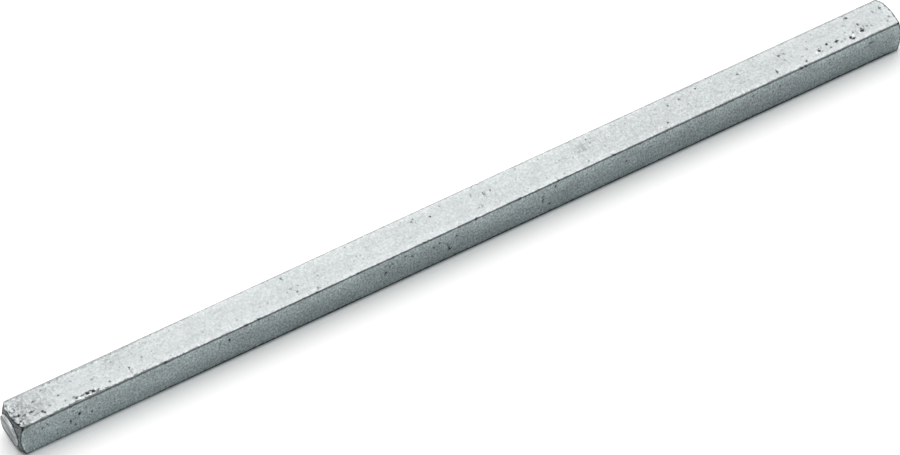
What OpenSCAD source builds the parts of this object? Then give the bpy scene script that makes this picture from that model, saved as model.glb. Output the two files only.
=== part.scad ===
// Square key stock: one length of drawn bar with a flat cone turned on each end.
// The bar lies along X on its lower flat. The origin is the middle of that flat.

/* [Drawn bar] */
// Side of the square section
bar_side = 12; // [6:0.5:40]
// Length over both end faces
bar_length = 300; // [50:5:1000]
// Radius left by the drawing die along each of the four long edges
edge_radius = 0.4; // [0.1:0.05:1.5]

/* [Turned ends] */
// Distance from the flats in to the rim of the end face
rim_inset = 1; // [0.2:0.1:2]
// Slope of the turned cone, measured from the end face
cone_angle = 28; // [15:1:45]

/* [Hidden] */
$fn = 96;

half_side = bar_side / 2;
// Width of each flat, between the two long edges that bound it
flat_width = bar_side - 2 * edge_radius;
// From the axis out to the crest of a long edge
crest_radius = flat_width / 2 * sqrt(2) + edge_radius;
// Round face left in the middle of each end
rim_radius = half_side - rim_inset;
// The turning tool runs out this far beyond the long edges
tool_run_out = 0.5;
swing_radius = crest_radius + tool_run_out;
cone_depth = (swing_radius - rim_radius) * tan(cone_angle);

// Square with round corners, as the die draws it
module drawn_section() {
    square([flat_width, bar_side], center = true);
    square([bar_side, flat_width], center = true);
    for (across = [-1, 1], up = [-1, 1])
        translate([across, up] * flat_width / 2)
            circle(r = edge_radius);
}

// What the lathe leaves standing: a cylinder clear of the bar, coned at both ends
module turned_envelope() {
    rotate_extrude()
        polygon([
            [0, 0],
            [rim_radius, 0],
            [swing_radius, cone_depth],
            [swing_radius, bar_length - cone_depth],
            [rim_radius, bar_length],
            [0, bar_length]
        ]);
}

// The cones cut deepest at the long edges and leave a shallow arc on every flat
module key_bar() {
    color("#b9bfc0")
        translate([-bar_length / 2, 0, half_side])
            rotate([0, 90, 0])
                intersection() {
                    linear_extrude(height = bar_length) drawn_section();
                    turned_envelope();
                }
}

key_bar();
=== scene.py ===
# Square key stock: one drawn, turned and zinc plated steel bar, lying on a pale studio floor.
import math
import random
import bmesh
import bpy
from mathutils import Matrix, Vector, noise


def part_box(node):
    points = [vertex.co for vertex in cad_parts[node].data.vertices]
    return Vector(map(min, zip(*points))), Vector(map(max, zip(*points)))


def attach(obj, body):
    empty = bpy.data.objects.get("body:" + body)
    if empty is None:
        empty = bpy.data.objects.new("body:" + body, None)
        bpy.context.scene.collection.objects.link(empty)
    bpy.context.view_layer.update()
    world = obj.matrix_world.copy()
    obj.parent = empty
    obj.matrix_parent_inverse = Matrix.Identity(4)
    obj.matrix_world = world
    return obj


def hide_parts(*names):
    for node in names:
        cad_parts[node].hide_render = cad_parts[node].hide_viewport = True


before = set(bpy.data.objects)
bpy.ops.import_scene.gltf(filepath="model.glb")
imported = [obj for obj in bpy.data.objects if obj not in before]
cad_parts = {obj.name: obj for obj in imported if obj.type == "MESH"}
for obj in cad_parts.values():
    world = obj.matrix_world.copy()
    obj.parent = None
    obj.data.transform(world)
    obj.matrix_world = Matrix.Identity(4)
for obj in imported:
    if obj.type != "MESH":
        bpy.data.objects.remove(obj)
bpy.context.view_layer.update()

# Drawn bar
# One length of square steel, cold drawn through a die that leaves four flats and four slightly round edges.
# Its ends are turned to a flat cone, so each flat ends in a shallow arc round a plain circular face.
MM = 0.001
bar_low, bar_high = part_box("key_bar")
bar_length = bar_high.x - bar_low.x
half_side = (bar_high.z - bar_low.z) / 2
axis_height = bar_low.z + half_side
edge_radius = 0.4 * MM
rim_radius = half_side - 1.0 * MM
cone_slope = math.tan(math.radians(28))

flat_reach = half_side - edge_radius
flat_cells = 10
round_cells = 6
cell_length = 1.0 * MM
# A narrow strip beside each edge holds the flats flat where the surface starts to turn
hold = 0.08 * MM


def quarter_turned(y, z, turns):
    """A section point carried round the axis: from the top flat to the front, the lower and the rear one."""
    for _ in range(turns):
        y, z = -z, y
    return y, z


def drawn_section():
    """The die's outline about the bar's axis, from the rear of the top flat round by the front."""
    inner = flat_reach - hold
    across = [flat_reach]
    across += [inner - 2 * inner * i / flat_cells for i in range(flat_cells + 1)]
    across += [-flat_reach]
    quarter = [(y, half_side) for y in across]
    for i in range(1, round_cells):
        angle = math.pi / 2 * (1 + i / round_cells)
        y = edge_radius * math.cos(angle) - flat_reach
        z = edge_radius * math.sin(angle) + flat_reach
        quarter.append((y, z))
    return [Vector(quarter_turned(y, z, turns)) for turns in range(4) for y, z in quarter]


def on_bar(x, place):
    """The point at a place along X and a place across the bar."""
    return Vector((x, place.x, place.y + axis_height))


def across_bar(point):
    """A point's place across the bar, about its axis."""
    return Vector((point.y, point.z - axis_height))


class TurnedEnd:
    """One end of the bar: a round face, and a cone about it that can stand back, lean or swell."""

    swell_spread = math.radians(9)
    crisp_band = 0.08 * MM
    cone_shares = (0.04, 0.15, 0.3, 0.45, 0.6, 0.75, 0.88, 0.97, 1)
    face_shares = (0.99, 0.97, 0.9, 0.78, 0.66, 0.54, 0.42, 0.3, 0.18, 0.07)

    def __init__(self, face_x, inward, setback=0, lean=(0, 0), swell=0, swell_at=0):
        self.face_x = face_x
        self.inward = inward
        self.setback = setback * MM
        self.lean = Vector(lean)
        self.swell = swell
        self.swell_at = math.radians(swell_at)

    def past_rim(self, place):
        """How far a place across the bar lies outside the round face."""
        return place.length - rim_radius

    def depth(self, place):
        """How far the cone lies behind the round face at a place across the bar."""
        off_swell = (math.atan2(place.y, place.x) - self.swell_at) / self.swell_spread
        swollen = self.swell * math.exp(-off_swell * off_swell)
        steeper = 1 + self.lean.dot(place.normalized()) - swollen
        return self.setback + self.past_rim(place) * cone_slope * steeper

    def past_arc(self, point):
        """How far a point on the flats lies inside the arc where the cone cuts them."""
        return (point.x - self.face_x) * self.inward - self.depth(across_bar(point))

    def rings(self, section):
        """Rings of points over the cone from the arcs to its rim, then over the face to near its middle."""
        for share in self.cone_shares:
            ring = []
            for place in section:
                nearer = place * (1 + (rim_radius / place.length - 1) * share)
                ring.append(on_bar(self.face_x + self.inward * self.depth(nearer), nearer))
            yield ring
        for share in self.face_shares:
            yield [on_bar(self.face_x, place.normalized() * rim_radius * share) for place in section]

    def close(self, bar, edge_ring, section):
        """Adds the end's faces to the bar, from the ring of points round its arcs."""
        last = edge_ring
        for ring in self.rings(section):
            made = [bar.verts.new(point) for point in ring]
            for i in range(len(made)):
                bar.faces.new((last[i - 1], last[i], made[i], made[i - 1])).material_index = 1
                crisp = abs(self.past_rim(across_bar(made[i].co))) < self.crisp_band
                bar.edges.get((made[i - 1], made[i])).smooth = not crisp
            last = made
        middle = bar.verts.new(on_bar(self.face_x, Vector((0, 0))))
        for i in range(len(last)):
            bar.faces.new((last[i - 1], last[i], middle)).material_index = 1


# The left face stands out from its cone, which swells near the upper rear corner.
# The right cone leans, so that it is steeper at the rear, and it swells near that corner too.
left_end = TurnedEnd(bar_low.x, 1, setback=0.55, swell=0.54, swell_at=60)
right_end = TurnedEnd(bar_high.x, -1, lean=(0.50, -0.24), swell=0.30, swell_at=60)


def cut_back(bar):
    """Takes the bottom off the left face, along a straight line below the axis, sloping in from there."""
    below_axis = 3.15 * MM
    line = Vector((bar_low.x, 0, axis_height - below_axis))
    slope = math.radians(60)
    cut = bmesh.ops.bisect_plane(
        bar,
        geom=bar.verts[:] + bar.edges[:] + bar.faces[:],
        plane_co=line,
        plane_no=(-math.sin(slope), 0, -math.cos(slope)),
        clear_outer=True,
    )
    outline = [part for part in cut["geom_cut"] if isinstance(part, bmesh.types.BMEdge)]
    for edge in outline:
        edge.smooth = False
    bmesh.ops.edgeloop_fill(bar, edges=outline, mat_nr=1)


def stations():
    """Distances along the bar at which its surface has a ring of points, closer together at both ends."""
    near_end = [0, hold, 0.3 * MM, 0.6 * MM, 1.0 * MM, 1.5 * MM]
    count = round((bar_length - 4 * MM) / cell_length)
    middle = [2 * MM + (bar_length - 4 * MM) * i / count for i in range(count + 1)]
    return near_end + middle + [bar_length - distance for distance in reversed(near_end)]


def station_x(place, run):
    """Place along X of a ring's point: the end rings follow the cones' arcs, and the rest lie square."""
    settle = 8 * MM
    from_left = max(0, 1 - run / settle)
    from_right = max(0, 1 - (bar_length - run) / settle)
    return bar_low.x + run + from_left * left_end.depth(place) - from_right * right_end.depth(place)


def drawn_and_turned_bar():
    """The whole bar as new: flats, round edges, cones and end faces in one closed skin."""
    bar = bmesh.new()
    section = drawn_section()
    rings = []
    for run in stations():
        rings.append([bar.verts.new(on_bar(station_x(place, run), place)) for place in section])
    for near, far in zip(rings, rings[1:]):
        for i in range(len(section)):
            bar.faces.new((near[i - 1], near[i], far[i], far[i - 1]))
    left_end.close(bar, rings[0], section)
    right_end.close(bar, rings[-1], section)
    cut_back(bar)
    bmesh.ops.recalc_face_normals(bar, faces=bar.faces)
    return bar


def outward(point):
    """Direction straight out of the drawn surface at a point on it."""
    y, z = point.y, point.z - axis_height
    return Vector((
        0,
        math.copysign(max(abs(y) - flat_reach, 0), y),
        math.copysign(max(abs(z) - flat_reach, 0), z),
    )).normalized()


class Knock:
    """One pit, scuff or nick: its place on a side, its half length and half width, its depth and dirt, which
    below 0 is a painted highlight.
    """

    ragged_grain = 0.35 * MM

    def __init__(self, side, along, across, half_length, half_width, depth, dirt_and_glint=1.0, slant=0.0):
        y, z = quarter_turned(half_side - across * MM, half_side, side)
        self.centre = Vector((bar_low.x + along * MM, y, z + axis_height))
        self.half_length = half_length * MM
        self.half_width = half_width * MM
        self.depth = depth * MM
        self.dirt_and_glint = dirt_and_glint
        self.tangent = Vector((0, *quarter_turned(-1, 0, side)))
        self.normal = Vector((0, *quarter_turned(0, 1, side)))
        self.slant = math.radians(slant)

    def reach(self, point, ragged=0.0):
        """0 at the middle of the knock, 1 at its outline."""
        away = point - self.centre
        u, v, w = away.x, away.dot(self.tangent), away.dot(self.normal)
        turned_u = u * math.cos(self.slant) + v * math.sin(self.slant)
        turned_v = v * math.cos(self.slant) - u * math.sin(self.slant)
        distance = math.sqrt(
            (turned_u / self.half_length) ** 2
            + (turned_v / self.half_width) ** 2
            + (w / self.half_width) ** 2
        )
        if ragged:
            distance *= 1 + ragged * noise.noise(point / self.ragged_grain)
        return distance


TOP, FRONT, LOWER, REAR = range(4)

knocks = [
    # Pits on the front half of the top flat, towards the right end
    Knock(TOP, 257.6, 9.4, 0.40, 0.60, 0.15, 0.8),
    Knock(TOP, 272.7, 8.7, 0.50, 0.65, 0.18, slant=-30),
    Knock(TOP, 276.0, 7.8, 0.50, 0.45, 0.18, slant=-30),
    Knock(TOP, 279.1, 8.3, 0.75, 0.45, 0.22, slant=-25),
    Knock(TOP, 283.6, 9.3, 0.45, 0.60, 0.24, slant=20),
    Knock(TOP, 284.2, 10.0, 0.60, 0.50, 0.24),
    Knock(TOP, 288.1, 8.7, 0.75, 0.55, 0.26, slant=-25),
    Knock(TOP, 288.1, 7.8, 0.55, 0.35, 0.20, 0.8),
    Knock(TOP, 286.4, 1.9, 0.60, 0.50, 0.15, 0.7),
    # Scuff on the front half of the top flat, towards the left end
    Knock(TOP, 20.1, 9.4, 0.50, 0.40, 0.10, 0.5),
    Knock(TOP, 20.7, 9.9, 0.55, 0.50, 0.14, 0.8),
    Knock(TOP, 22.7, 10.1, 1.00, 0.28, 0.10, 0.7, slant=-5),
    Knock(TOP, 24.1, 10.1, 0.80, 0.60, 0.24),
    Knock(TOP, 25.5, 9.9, 0.80, 0.32, 0.18, 0.8, slant=20),
    Knock(TOP, 26.0, 10.3, 0.70, 0.60, 0.24, slant=40),
    Knock(TOP, 27.4, 10.6, 0.65, 0.32, 0.12, 0.7, slant=-25),
    # Painted highlights beside some of these marks, as flat knocks whose dirt below 0 lightens the plate
    Knock(TOP, 24.7, 11.0, 0.80, 0.40, 0.0, -0.5),
    Knock(TOP, 21.3, 10.6, 0.70, 0.35, 0.0, -0.4),
    Knock(TOP, 2.6, 10.1, 0.45, 0.40, 0.0, -0.15),
    Knock(TOP, 2.7, 7.8, 0.50, 0.40, 0.0, -0.15),
    Knock(TOP, 1.7, 6.1, 0.45, 0.50, 0.0, -0.10),
    Knock(TOP, 2.5, 4.5, 0.40, 0.45, 0.0, -0.10),
    Knock(TOP, 271.8, 8.8, 0.40, 0.70, 0.0, -0.3),
    Knock(TOP, 284.6, 9.0, 0.55, 0.45, 0.0, -0.3),
    Knock(TOP, 287.1, 8.8, 0.50, 0.60, 0.0, -0.3),
    # Chips and scuffs where the left cone meets the top flat
    Knock(TOP, 2.5, 7.0, 1.00, 0.38, 0.14, 0.70, slant=12),
    Knock(TOP, 3.4, 7.2, 0.50, 0.42, 0.16, 1.00),
    Knock(TOP, 5.0, 7.9, 0.70, 0.40, 0.10, 0.55),
    Knock(TOP, 7.2, 7.8, 1.00, 0.38, 0.12, 0.75),
    Knock(TOP, 1.8, 4.6, 0.32, 0.55, 0.10, 0.65),
    Knock(TOP, 3.2, 4.6, 0.32, 0.55, 0.10, 0.55),
    Knock(TOP, 2.2, 5.3, 0.45, 0.32, 0.10, 0.50),
    Knock(TOP, 1.9, 2.1, 0.35, 0.45, 0.10, 0.40),
    Knock(TOP, 1.4, 7.8, 0.50, 0.50, 0.12, 0.80),
    Knock(TOP, 1.9, 10.0, 0.45, 0.50, 0.16, 1.00),
    Knock(TOP, 3.0, 9.2, 0.50, 0.45, 0.12, 0.85),
    Knock(TOP, 3.4, 10.2, 0.30, 0.45, 0.12, 0.80),
    Knock(TOP, 2.2, 11.6, 0.60, 0.50, 0.20, 1.00),
    Knock(TOP, 8.1, 9.3, 1.60, 0.35, 0.06, 0.35),
    Knock(TOP, 10.0, 9.3, 0.45, 0.50, 0.15, 0.90),
    Knock(TOP, 10.5, 10.0, 0.38, 0.55, 0.15, 0.80),
    Knock(TOP, 9.1, 4.8, 0.45, 0.50, 0.12, 0.60),
    # Fine scratches across the top flat and down the front flank
    Knock(TOP, 38.7, 9.8, 0.15, 1.60, 0.03, 0.35),
    Knock(TOP, 155.3, 3.3, 0.20, 0.90, 0.04, 0.35, slant=15),
    Knock(TOP, 156.3, 8.3, 0.20, 0.90, 0.04, 0.35),
    Knock(TOP, 158.8, 4.6, 0.25, 0.80, 0.08, 0.6),
    Knock(TOP, 161.3, 4.5, 0.25, 0.90, 0.08, 0.5, slant=25),
    Knock(FRONT, 142.5, 6.4, 0.28, 1.60, 0.06, 0.6, slant=-15),
    Knock(FRONT, 174.8, 5.2, 0.28, 2.20, 0.06, 0.7),
    # Dark pits on the front flank
    Knock(FRONT, 17.2, 6.4, 0.40, 0.80, 0.15),
    Knock(FRONT, 20.2, 4.9, 0.45, 0.85, 0.18),
    Knock(FRONT, 18.8, 5.8, 0.90, 0.80, 0.05, 0.3),
    Knock(FRONT, 69.5, 3.1, 0.50, 0.55, 0.15),
    Knock(FRONT, 121.4, 5.5, 0.50, 0.60, 0.15),
    Knock(FRONT, 142.9, 7.8, 0.50, 0.60, 0.15),
    Knock(FRONT, 179.3, 1.9, 0.45, 0.70, 0.15, 0.8),
    Knock(FRONT, 289.0, 3.0, 1.20, 0.60, 0.12, 0.6),
    # Black corner where the front edge runs into the left cone
    Knock(FRONT, 2.1, 0.6, 0.45, 0.70, 0.15, 1.0),
]

# Small round pits, as pairs of the distance from the left end and in from the side's first edge
faint_top_pits = (
    (13.0, 2.2), (14.6, 2.3), (12.8, 8.4), (17.5, 9.2), (22.0, 3.7), (27.5, 6.3), (43.8, 6.5),
    (92.9, 6.8), (102.0, 6.4), (136.2, 2.3), (136.4, 3.9), (145.5, 2.0), (171.6, 1.4), (191.8, 10.0),
    (195.8, 4.0), (222.8, 3.7), (263.1, 4.2), (262.0, 6.5), (267.2, 8.1), (270.0, 6.3), (273.5, 9.5),
    (280.5, 9.2), (281.8, 8.9), (284.2, 4.1), (286.2, 7.7), (286.2, 8.8), (289.2, 7.3), (290.2, 7.8),
    (291.5, 8.4), (294.6, 4.0), (296.0, 0.9), (296.7, 9.3),
)
dark_top_pits = (
    (16.6, 6.5), (31.6, 9.6), (38.8, 8.2), (92.2, 1.9), (94.0, 8.6), (99.9, 10.6), (135.4, 3.0),
    (141.1, 4.2), (195.3, 2.3), (219.5, 9.5), (226.9, 3.3), (233.2, 2.2), (247.0, 4.0), (261.2, 4.2),
    (267.3, 10.4), (276.5, 9.5), (285.2, 7.9), (288.1, 5.8), (297.2, 3.7), (297.9, 8.0),
)
front_pits = (
    (8.3, 3.8), (9.9, 3.0), (15.3, 5.4), (18.3, 2.5), (18.5, 8.6), (22.5, 3.3), (24.1, 6.4),
    (26.5, 6.4), (66.4, 3.0), (121.6, 2.4), (122.9, 3.3), (123.9, 2.9), (128.3, 2.2), (130.4, 3.4),
    (137.8, 4.1), (139.8, 3.3), (145.5, 3.4), (177.0, 8.2), (203.6, 5.3), (247.7, 2.3), (257.2, 3.6),
    (274.4, 3.3),
)
pit_depth = 0.08
wear = random.Random(12)
for side, places, least, most in (
    (TOP, faint_top_pits, 0.25, 0.45),
    (TOP, dark_top_pits, 0.52, 0.80),
    (FRONT, front_pits, 0.70, 1.00),
):
    for along, across in places:
        size = wear.uniform(0.32, 0.45)
        width = size * wear.uniform(0.8, 1.4)
        dirt_and_glint = wear.uniform(least, most)
        knocks.append(Knock(side, along, across, size, width, pit_depth, dirt_and_glint))

# Nicks in the four long edges, each named by the flat before it, going round from the top one
faint_nicks = {
    TOP: (8.5, 11.5, 17.5, 19.2, 29.5, 214.8, 231.2, 277.7, 289.5, 292.5),
}
dark_nicks = {
    TOP: (48.8, 75.4, 79.4, 98.7, 112.4, 134.9, 152.3, 167.3, 180.3, 199.3, 264.7, 266.1, 298.9),
    FRONT: (54.5, 206.3, 248.2, 287.9, 292.2),
    LOWER: (31.5, 77.4, 160.3, 218.3),
    REAR: (23.8, 42.2, 157.1, 159.6, 190.3, 255.2),
}
far_edge = 2 * half_side / MM
nick_width = 0.6
for nicks, least, most in ((faint_nicks, 0.15, 0.35), (dark_nicks, 0.45, 0.85)):
    for side, places in nicks.items():
        for along in places:
            length = wear.uniform(0.4, 0.8)
            depth = most * wear.uniform(0.12, 0.24)
            dirt_and_glint = wear.uniform(least, most)
            knocks.append(Knock(side, along, far_edge, length, nick_width, depth, dirt_and_glint))

# The two sides that lie down or face away are worn in the same way
for side in (LOWER, REAR):
    for _ in range(30):
        size = wear.uniform(0.25, 0.55)
        along = wear.uniform(4, 296)
        across = wear.uniform(1, 11)
        width = size * wear.uniform(0.7, 1.4)
        dirt_and_glint = wear.uniform(0.4, 1)
        knocks.append(Knock(side, along, across, size, width, size * 0.35, dirt_and_glint))

# Wide, shallow smudges that dull the plate without marking the metal under it
smudges = [
    Knock(TOP, 1.5, 6.5, 11.0, 9.0, 0.0, 1.25),
    Knock(TOP, 9.0, 5.0, 9.0, 5.5, 0.0, 0.70),
    Knock(TOP, 17.0, 2.0, 6.0, 4.0, 0.0, 0.40),
    Knock(TOP, 38.0, 1.5, 12.0, 4.5, 0.0, 0.45),
    Knock(TOP, 225.0, 6.0, 45.0, 14.0, 0.0, 0.25),
    Knock(TOP, 41.0, 2.5, 2.0, 1.2, 0.0, 0.35),
    Knock(TOP, 192.0, 4.8, 3.2, 2.4, 0.0, 0.80),
    Knock(FRONT, 288.8, 3.0, 3.0, 2.0, 0.0, 0.40),
    Knock(REAR, 120.0, 5.0, 9.0, 5.0, 0.0, 0.35),
    Knock(REAR, 262.0, 7.0, 7.0, 5.0, 0.0, 0.35),
    Knock(LOWER, 60.0, 6.0, 12.0, 5.0, 0.0, 0.35),
]


def knock_about(bar):
    """Presses every knock into the bar, on a finer mesh where it lands, and notes its dirt and painted
    highlight for the plate.
    """
    bins = {}
    for knock in knocks:
        first = int((knock.centre.x - knock.half_length) / MM - 3)
        last = int((knock.centre.x + knock.half_length) / MM + 3)
        for place in range(first, last + 1):
            bins.setdefault(place, []).append(knock)

    def near(point):
        return bins.get(int(point.x / MM), [])

    for spread in (0.8 * MM, 0.45 * MM, 0.2 * MM):
        edges = set()
        for face in bar.faces:
            middle = face.calc_center_median()
            if any(k.reach(middle) < 1 + spread / k.half_width for k in near(middle)):
                edges.update(face.edges)
        bmesh.ops.subdivide_edges(bar, edges=list(edges), cuts=1, use_grid_fill=True)

    dirt_and_glint = bar.verts.layers.float.new("dirt_and_glint")
    smudge = bar.verts.layers.float.new("smudge")
    past_arc = bar.verts.layers.float.new("past_arc")
    for vert in bar.verts:
        place = vert.co.copy()
        end = left_end if place.x < 0 else right_end
        vert[past_arc] = end.past_arc(place) / MM
        direction = outward(place)
        for knock in near(place):
            reach = knock.reach(place, ragged=0.8)
            if reach < 1:
                bowl = (1 - reach * reach) ** 1.5
                vert.co -= direction * knock.depth * bowl
                mark = knock.dirt_and_glint * bowl ** 0.4
                if abs(mark) > abs(vert[dirt_and_glint]):
                    vert[dirt_and_glint] = mark
        for patch in smudges:
            fade = max(0, 1 - patch.reach(place))
            vert[smudge] = max(vert[smudge], patch.dirt_and_glint * min(1, 2 * fade))


bar_mesh = drawn_and_turned_bar()
knock_about(bar_mesh)
for face in bar_mesh.faces:
    face.smooth = True
bar_data = bpy.data.meshes.new("drawn_bar")
bar_mesh.to_mesh(bar_data)
bar_mesh.free()
drawn_bar = bpy.data.objects.new("drawn_bar", bar_data)
bpy.context.scene.collection.objects.link(drawn_bar)


def place_node(tree, kind, sockets=None, **settings):
    """Adds a shader node, makes its settings, then sets or links its inputs."""
    made = tree.nodes.new("ShaderNode" + kind)
    for name, value in settings.items():
        setattr(made, name, value)
    for socket, value in (sockets or {}).items():
        if isinstance(value, bpy.types.NodeSocket):
            tree.links.new(value, made.inputs[socket])
        else:
            made.inputs[socket].default_value = value
    return made


def new_finish(name):
    """A material with only its output node, and that node."""
    finish = bpy.data.materials.new(name)
    finish.use_nodes = True
    finish.node_tree.nodes.clear()
    return finish, place_node(finish.node_tree, "OutputMaterial")


def maths(tree, operation, first, second=0.0, third=0.0):
    """The result of one sum on numbers or sockets."""
    return place_node(tree, "Math", {0: first, 1: second, 2: third}, operation=operation).outputs[0]


def span(tree, value, low, high, to_low, to_high):
    """A value eased from one range to another, and held at its ends."""
    return place_node(tree, "MapRange", {
        "Value": value, "From Min": low, "From Max": high, "To Min": to_low, "To Max": to_high,
    }, interpolation_type="SMOOTHSTEP").outputs["Result"]


def mottle(tree, place, scale, detail=4.0, roughness=0.6):
    """Soft noise about a half, over places in millimetres."""
    sockets = {"Vector": place, "Scale": scale, "Detail": detail, "Roughness": roughness}
    return place_node(tree, "TexNoise", sockets).outputs[0]


def stretched(tree, place, shares):
    """Places shrunk along some axes, so that a texture laid over them is longer there."""
    return place_node(tree, "VectorMath", {0: place, 1: shares}, operation="MULTIPLY").outputs[0]


def zinc_grain_group():
    """The dull plate's own texture: soft clouds, a fine matt grain and scattered specks."""
    group = bpy.data.node_groups.new("zinc_grain", "ShaderNodeTree")
    group.interface.new_socket("Place", in_out="INPUT", socket_type="NodeSocketVector")
    group.interface.new_socket("Coarseness", in_out="INPUT", socket_type="NodeSocketFloat")
    for name in ("Shade", "Specks", "Height"):
        group.interface.new_socket(name, in_out="OUTPUT", socket_type="NodeSocketFloat")
    inlets = group.nodes.new("NodeGroupInput").outputs
    inlet = inlets["Place"]
    outlet = group.nodes.new("NodeGroupOutput")
    clouds = mottle(group, inlet, 0.22, roughness=0.5)
    grain = mottle(group, stretched(group, inlet, (1.0, 0.7, 0.7)), 1.65, roughness=0.65)
    bumps = mottle(group, inlet, 1.1, detail=3.0)
    cells = place_node(group, "TexVoronoi", {"Vector": inlet, "Scale": 0.75})
    chosen = place_node(group, "SeparateColor", {0: cells.outputs["Color"]}).outputs[0]
    speck_size = span(group, chosen, 0.35, 1.0, 0.0, 0.20)
    inside = maths(group, "SUBTRACT", speck_size, cells.outputs["Distance"])
    specks = span(group, inside, -0.03, 0.06, 0.0, 1.0)
    cloud_shade = span(group, clouds, 0.3, 0.7, 0.965, 1.035)
    grain_swing = span(group, grain, 0.25, 0.75, -1.0, 1.0)
    grain_swing = maths(group, "MULTIPLY", grain_swing, inlets["Coarseness"])
    shade = maths(group, "MULTIPLY", cloud_shade, maths(group, "ADD", grain_swing, 1.0))
    relief = maths(group, "MULTIPLY", bumps, 0.09)
    height = maths(group, "MULTIPLY_ADD", specks, -0.03, relief)
    group.links.new(shade, outlet.inputs["Shade"])
    group.links.new(specks, outlet.inputs["Specks"])
    group.links.new(height, outlet.inputs["Height"])
    return group


zinc_grain = zinc_grain_group()
zinc_grey = (0.419, 0.444, 0.454, 1)
# The flanks take a cooler copy of the zinc grey, a painted cool shade tint
flank_cool_shade_grey = (0.400, 0.452, 0.464, 1)
soil_grey = (0.018, 0.022, 0.023, 1)


def bar_place(tree):
    """The place about the bar's axis in millimetres, as a vector and as its three parts."""
    axis = (0, 0, axis_height / MM)
    spot = place_node(tree, "TexCoord").outputs["Object"]
    spot = place_node(tree, "VectorMath", {0: spot, "Scale": 1 / MM}, operation="SCALE").outputs[0]
    spot = place_node(tree, "VectorMath", {0: spot, 1: axis}, operation="SUBTRACT").outputs[0]
    parts = place_node(tree, "SeparateXYZ", {0: spot})
    return spot, parts.outputs[0], parts.outputs[1], parts.outputs[2]


def noted(tree, name):
    """What the mesh notes of each point under a name."""
    return place_node(tree, "Attribute", attribute_name=name).outputs["Fac"]


def both(tree, first, second):
    """A mask that is full only where two masks are."""
    return maths(tree, "MULTIPLY", first, second)


def less(tree, amount, mask, share):
    """An amount less a share of it where the mask is full, or more by it where the share is below 0."""
    return maths(tree, "MULTIPLY", amount, maths(tree, "MULTIPLY_ADD", mask, -share, 1.0))


def line(tree, width, distance, darkness=1.0):
    """A mask for a soft-edged line of a width, by the distance from where it starts."""
    return span(tree, maths(tree, "SUBTRACT", width, distance), -0.10, 0.10, 0.0, darkness)


def blend(tree, share, first, second):
    """A colour on the way from one to another, and past it where the share is over 1."""
    # Inputs 6 and 7 of the Mix node are its colours, and output 2 is what they give
    sockets = {0: share, 6: first, 7: second}
    return place_node(tree, "Mix", sockets, data_type="RGBA", clamp_factor=False).outputs[2]


def from_flat(tree, part):
    """How far a point lies inside the nearer of the two flats that face along one axis."""
    return maths(tree, "SUBTRACT", half_side / MM, maths(tree, "ABSOLUTE", part))


# Zinc on the flats: dark along the long edges, in the pits and under the smudges
flat_zinc, flat_output = new_finish("zinc_on_drawn_flats")
tree = flat_zinc.node_tree
spot, along, across, up = bar_place(tree)
on_flank = maths(tree, "SUBTRACT", maths(tree, "ABSOLUTE", across), maths(tree, "ABSOLUTE", up))
on_flank = span(tree, on_flank, -0.3, 0.3, 0.0, 1.0)
dirt_and_glint = noted(tree, "dirt_and_glint")
smudge = noted(tree, "smudge")
blotches = span(tree, mottle(tree, spot, 0.75, roughness=0.7), 0.35, 0.65, 0.0, 1.0)
dulled = both(tree, smudge, blotches)
coarseness = maths(tree, "MULTIPLY_ADD", on_flank, 0.33, 0.15)
coarseness = maths(tree, "MULTIPLY_ADD", smudge, 0.15, coarseness)
grain = place_node(tree, "Group", {"Place": spot, "Coarseness": coarseness}, node_tree=zinc_grain)

# A dark line along each long edge, partly soil and partly painted shade, wider on the flanks, at the worn
# ends and at the bottom, where it is darker as a painted contact shadow
uneven = mottle(tree, spot, 1.1)
low = span(tree, up, -5.0, -4.0, 1.0, 0.0)
at_rear = span(tree, across, 4.0, 5.0, 0.0, 1.0)
from_edge = maths(tree, "MAXIMUM", from_flat(tree, across), from_flat(tree, up))
worn_left = less(tree, span(tree, along, -135.0, -70.0, 1.0, 0.0), on_flank, 1.0)
worn_left = both(tree, worn_left, span(tree, along, -143.0, -131.0, 0.55, 1.0))
worn_right = less(tree, span(tree, along, 50.0, 75.0, 0.0, 1.0), on_flank, 1.0)
line_width = span(tree, uneven, 0.3, 0.7, 0.15, 0.45)
for mask, wider in (
    (worn_left, maths(tree, "MULTIPLY", uneven, 1.2)),
    (worn_right, 0.26),
    (on_flank, 0.22),
    (low, span(tree, along, -135.0, -75.0, -0.15, 0.14)),
    (at_rear, 0.25),
):
    line_width = maths(tree, "MULTIPLY_ADD", mask, wider, line_width)
line_soil_and_shade = maths(tree, "MULTIPLY_ADD", worn_left, 0.18, 0.50)
line_soil_and_shade = maths(tree, "MINIMUM", maths(tree, "MULTIPLY_ADD", low, 0.46, line_soil_and_shade), 0.96)
edge_soil_and_shade = both(tree, line(tree, line_width, from_edge), line_soil_and_shade)
edge_soil_and_shade = less(tree, edge_soil_and_shade, at_rear, 0.55)

# A thinner line of soil round each arc, with a painted highlight in a band beside it on the flanks at the
# left end
past_arc = noted(tree, "past_arc")
at_right = span(tree, along, 0.0, 100.0, 0.0, 1.0)
arc_width = span(tree, uneven, 0.35, 0.65, 0.02, 0.32)
arc_width = maths(tree, "MULTIPLY_ADD", at_right, 0.18, arc_width)
arc_line = line(tree, arc_width, past_arc, 0.75)
off_band = maths(tree, "ABSOLUTE", maths(tree, "SUBTRACT", past_arc, 0.6))
arc_glint = both(tree, span(tree, off_band, 0.15, 0.45, 1.0, 0.0), on_flank)
arc_glint = less(tree, arc_glint, at_right, 1.0)

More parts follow.
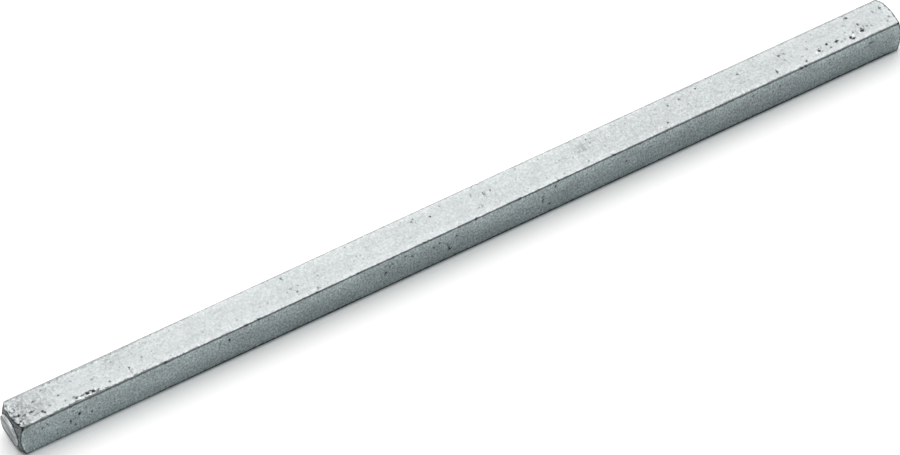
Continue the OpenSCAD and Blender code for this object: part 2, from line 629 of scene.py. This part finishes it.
# Painted sheen in a lighter band near the edges and arcs, and painted shade on the flanks, darkest over
# their lower half, that turns to painted light at the left end
edge_sheen = span(tree, maths(tree, "MINIMUM", from_edge, past_arc), 0.5, 3.0, 1.0, 0.0)
edge_sheen = less(tree, edge_sheen, span(tree, up, -5.0, -2.0, 1.0, 0.0), 0.4)
painted_flank_shading = both(tree, on_flank, span(tree, up, -1.0, 5.0, 1.0, 0.0))
painted_flank_shading = maths(tree, "MULTIPLY", painted_flank_shading, span(tree, along, -130.0, -50.0, -1.0, 1.0))

# Fine lines that the die drew along the bar, and wide soft patches where the flanks were handled
die_lines = mottle(tree, stretched(tree, spot, (0.03, 1.0, 1.0)), 1.6, detail=3.0, roughness=0.5)
handled = mottle(tree, stretched(tree, spot, (0.5, 1.0, 1.0)), 0.20, detail=2.0, roughness=0.5)
handled = span(tree, handled, 0.35, 0.65, -0.06, 0.06)

# Into the plate's tone go the painted sheen, highlight and shade above, with grain, die lines, handling,
# specks, smudges and dirt
clean = grain.outputs["Shade"]
clean = maths(tree, "MULTIPLY", clean, span(tree, die_lines, 0.3, 0.7, 0.975, 1.025))
for mask, share in (
    (edge_sheen, -0.10),
    (both(tree, on_flank, edge_sheen), -0.06),
    (both(tree, on_flank, handled), -1.00),
    (arc_glint, -0.20),
    (grain.outputs["Specks"], 0.35),
    (dulled, 0.40),
    (painted_flank_shading, 0.12),
    (maths(tree, "MAXIMUM", edge_soil_and_shade, arc_line), 1.00),
    (dirt_and_glint, 0.95),
):
    clean = less(tree, clean, mask, share)
roughness = maths(tree, "MULTIPLY_ADD", dirt_and_glint, 0.15, span(tree, uneven, 0.3, 0.7, 0.55, 0.63))
relief = place_node(tree, "Bump", {"Height": grain.outputs["Height"], "Distance": MM})
# Along the bar's lower edges this line is not metal, so the painted contact shadow stays dark
metal_share = maths(tree, "SUBTRACT", 1.0, both(tree, low, edge_soil_and_shade))
metal = place_node(tree, "BsdfPrincipled", {
    "Base Color": blend(tree, clean, soil_grey, blend(tree, on_flank, zinc_grey, flank_cool_shade_grey)),
    "Metallic": metal_share,
    "Specular IOR Level": 0.1,
    "Roughness": roughness,
    "Normal": relief.outputs[0],
})
tree.links.new(metal.outputs[0], flat_output.inputs[0])

# Zinc on the turned ends: the cones are dull and dark, and the round faces keep their saw marks
turned_zinc, turned_output = new_finish("zinc_on_turned_ends")
tree = turned_zinc.node_tree
spot, along, across, up = bar_place(tree)
grain = place_node(tree, "Group", {"Place": spot, "Coarseness": 0.2}, node_tree=zinc_grain)
patchy = mottle(tree, spot, 1.3, roughness=0.65)
from_axis = place_node(tree, "CombineXYZ", {1: across, 2: up}).outputs[0]
from_axis = place_node(tree, "VectorMath", {0: from_axis}, operation="LENGTH").outputs["Value"]
past_rim = maths(tree, "SUBTRACT", from_axis, rim_radius / MM)
on_cone = span(tree, past_rim, 0.0, 0.06, 0.0, 1.0)
on_face = span(tree, past_rim, -0.11, -0.08, 1.0, 0.0)
on_step = maths(tree, "SUBTRACT", 1.0, maths(tree, "MAXIMUM", on_cone, on_face))

# Straight saw marks across the round faces, with painted sheen in light bands near the top and below the
# middle
sawn = stretched(tree, spot, (1.0, 0.10, 1.0))
streaks = span(tree, mottle(tree, sawn, 1.4, detail=2.0, roughness=0.5), 0.40, 0.60, 0.0, 1.0)
saw_lines = span(tree, mottle(tree, sawn, 6.0, detail=3.0, roughness=0.7), 0.35, 0.65, 0.0, 1.0)
upper_sheen = both(tree, span(tree, up, 2.0, 3.2, 0.0, 1.0), span(tree, up, 4.3, 5.0, 1.0, 0.0))
off_band = maths(tree, "ABSOLUTE", maths(tree, "ADD", up, 0.6))
lower_sheen = span(tree, off_band, 0.4, 1.5, 1.0, 0.0)
# Painted shade over the lower part of the face, heavier at the front than at the rear
foot_shade = span(tree, up, -3.15, -1.6, 1.0, 0.0)
foot_shade = both(tree, foot_shade, span(tree, across, 0.0, 3.0, 1.0, 0.3))
at_front = span(tree, across, -4.0, -1.5, 1.0, 0.0)

# Painted shade on the cones at the rear and the bottom, with ragged dark lines where they meet the face and
# the flats
at_rear = span(tree, across, 2.5, 4.0, 0.0, 1.0)
bottom_shade = span(tree, up, -5.2, -3.5, 1.6, 0.0)
patches = span(tree, patchy, 0.40, 0.60, 0.0, 1.0)
rim_width = span(tree, patchy, 0.35, 0.65, 0.12, 0.42)
off_rim = maths(tree, "ABSOLUTE", maths(tree, "SUBTRACT", past_rim, 0.12))
rim_line = both(tree, line(tree, rim_width, off_rim), on_cone)
from_arc = maths(tree, "MINIMUM", from_flat(tree, across), from_flat(tree, up))
arc_width = span(tree, patchy, 0.35, 0.65, 0.40, 0.10)
arc_line = line(tree, arc_width, from_arc)

clean = grain.outputs["Shade"]
for mask, share in (
    (both(tree, on_face, streaks), 0.66),
    (both(tree, on_face, saw_lines), 0.18),
    (both(tree, on_face, upper_sheen), -1.00),
    (both(tree, on_face, lower_sheen), -0.45),
    (both(tree, on_face, foot_shade), 0.60),
    # Painted highlights on the step round the face, at its front and near its top
    (both(tree, on_step, at_front), -0.50),
    (both(tree, on_step, upper_sheen), -1.20),
    (on_cone, 0.36),
    (both(tree, on_cone, patches), 0.36),
    (both(tree, on_cone, maths(tree, "MAXIMUM", at_rear, bottom_shade)), 0.50),
    (maths(tree, "MAXIMUM", rim_line, arc_line), 0.70),
    (noted(tree, "dirt_and_glint"), 0.90),
):
    clean = less(tree, clean, mask, share)
roughness = span(tree, patchy, 0.3, 0.7, 0.50, 0.62)
grooves = maths(tree, "MULTIPLY_ADD", saw_lines, -0.02, grain.outputs["Height"])
relief = place_node(tree, "Bump", {"Height": grooves, "Distance": MM})
metal = place_node(tree, "BsdfPrincipled", {
    "Base Color": blend(tree, clean, soil_grey, zinc_grey),
    "Metallic": 1.0,
    "Roughness": roughness,
    "Normal": relief.outputs[0],
})
tree.links.new(metal.outputs[0], turned_output.inputs[0])

drawn_bar.data.materials.append(flat_zinc)
drawn_bar.data.materials.append(turned_zinc)

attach(drawn_bar, "root")
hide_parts("key_bar")

# Studio floor
# A wide sheet of matt white board that the bar lies on, far larger than the view.
# It shows lighter than it is lit, and half as much so in the bar's reflection of it.
floor_half = 8.0
floor_gap = 0.02 * MM
floor_height = bar_low.z - floor_gap
corners = ((-1, -1), (1, -1), (1, 1), (-1, 1))
floor_mesh = bpy.data.meshes.new("studio_floor")
floor_mesh.from_pydata(
    [(x * floor_half, y * floor_half, floor_height) for x, y in corners],
    [],
    [(0, 1, 2, 3)],
)
studio_floor = bpy.data.objects.new("studio_floor", floor_mesh)
bpy.context.scene.collection.objects.link(studio_floor)
board_white = (0.90, 0.90, 0.90, 1)
board_lift = 0.28
mirrored_share = 0.5
contact_reach = 1 * MM
white_board, board_output = new_finish("white_board")
tree = white_board.node_tree
board = place_node(tree, "BsdfDiffuse", {"Color": board_white})
ray = place_node(tree, "LightPath").outputs
mirrored = maths(tree, "MAXIMUM", ray["Is Glossy Ray"], ray["Is Transmission Ray"])
seen = maths(tree, "MULTIPLY_ADD", mirrored, mirrored_share, ray["Is Camera Ray"])
lift = maths(tree, "MULTIPLY", seen, board_lift)
# The lift fades close beside the bar, so that the line where they touch stays dark
clear = place_node(tree, "AmbientOcclusion", {"Distance": contact_reach}, samples=16).outputs["AO"]
lift = maths(tree, "MULTIPLY", lift, maths(tree, "MULTIPLY", clear, clear))
lift = place_node(tree, "Emission", {"Strength": lift})
lifted_board = place_node(tree, "AddShader", {0: board.outputs[0], 1: lift.outputs[0]})
tree.links.new(lifted_board.outputs[0], board_output.inputs[0])
floor_mesh.materials.append(white_board)

# Studio light
# Two softboxes hang behind the bar: a very large one facing straight down, and a small one facing the bar.
# The room round them is dim and cool.
soft_white = (1.04, 1.0, 0.98)
room_grey = (0.065, 0.105, 0.11, 1)


def hang_softbox(name, place, aim, width, depth, power, colour):
    """A soft rectangular lamp at a place, facing a point, that the camera itself does not see."""
    light = bpy.data.lights.new(name, "AREA")
    light.shape = "RECTANGLE"
    light.size = width
    light.size_y = depth
    light.energy = power
    light.color = colour
    lamp = bpy.data.objects.new(name, light)
    lamp.location = place
    lamp.rotation_euler = (Vector(aim) - Vector(place)).to_track_quat("-Z", "Y").to_euler()
    lamp.visible_camera = False
    bpy.context.scene.collection.objects.link(lamp)


hang_softbox("rear_softbox", (0.90, 1.95, 3.60), (0.90, 1.95, 0), 5.4, 4.5, 234.0, soft_white)
hang_softbox("low_softbox", (0.90, 2.60, 2.20), (0, 0, 0), 2.4, 1.0, 13.0, soft_white)

room = bpy.data.worlds.new("dim_room")
bpy.context.scene.world = room
room.use_nodes = True
room.node_tree.nodes["Background"].inputs["Color"].default_value = room_grey

# Camera
# A long lens in front of the bar, to its left and well above it, rolled a little to the left.
camera_place = Vector((-0.54364, -1.0466, 1.4052))
camera_aim = Vector((-0.00374, -0.0005, 0.0062))
camera_roll = math.radians(-3.28)
view = bpy.data.cameras.new("view")
view.sensor_fit = "HORIZONTAL"
view.sensor_width = 36
view.lens = 248.4
view.clip_end = 50
camera = bpy.data.objects.new("view", view)
camera.location = camera_place
level = (camera_aim - camera_place).to_track_quat("-Z", "Y").to_matrix()
camera.rotation_euler = (level @ Matrix.Rotation(camera_roll, 3, "Z")).to_euler()
bpy.context.scene.collection.objects.link(camera)
bpy.context.scene.camera = camera
bpy.context.scene.view_settings.view_transform = "Standard"
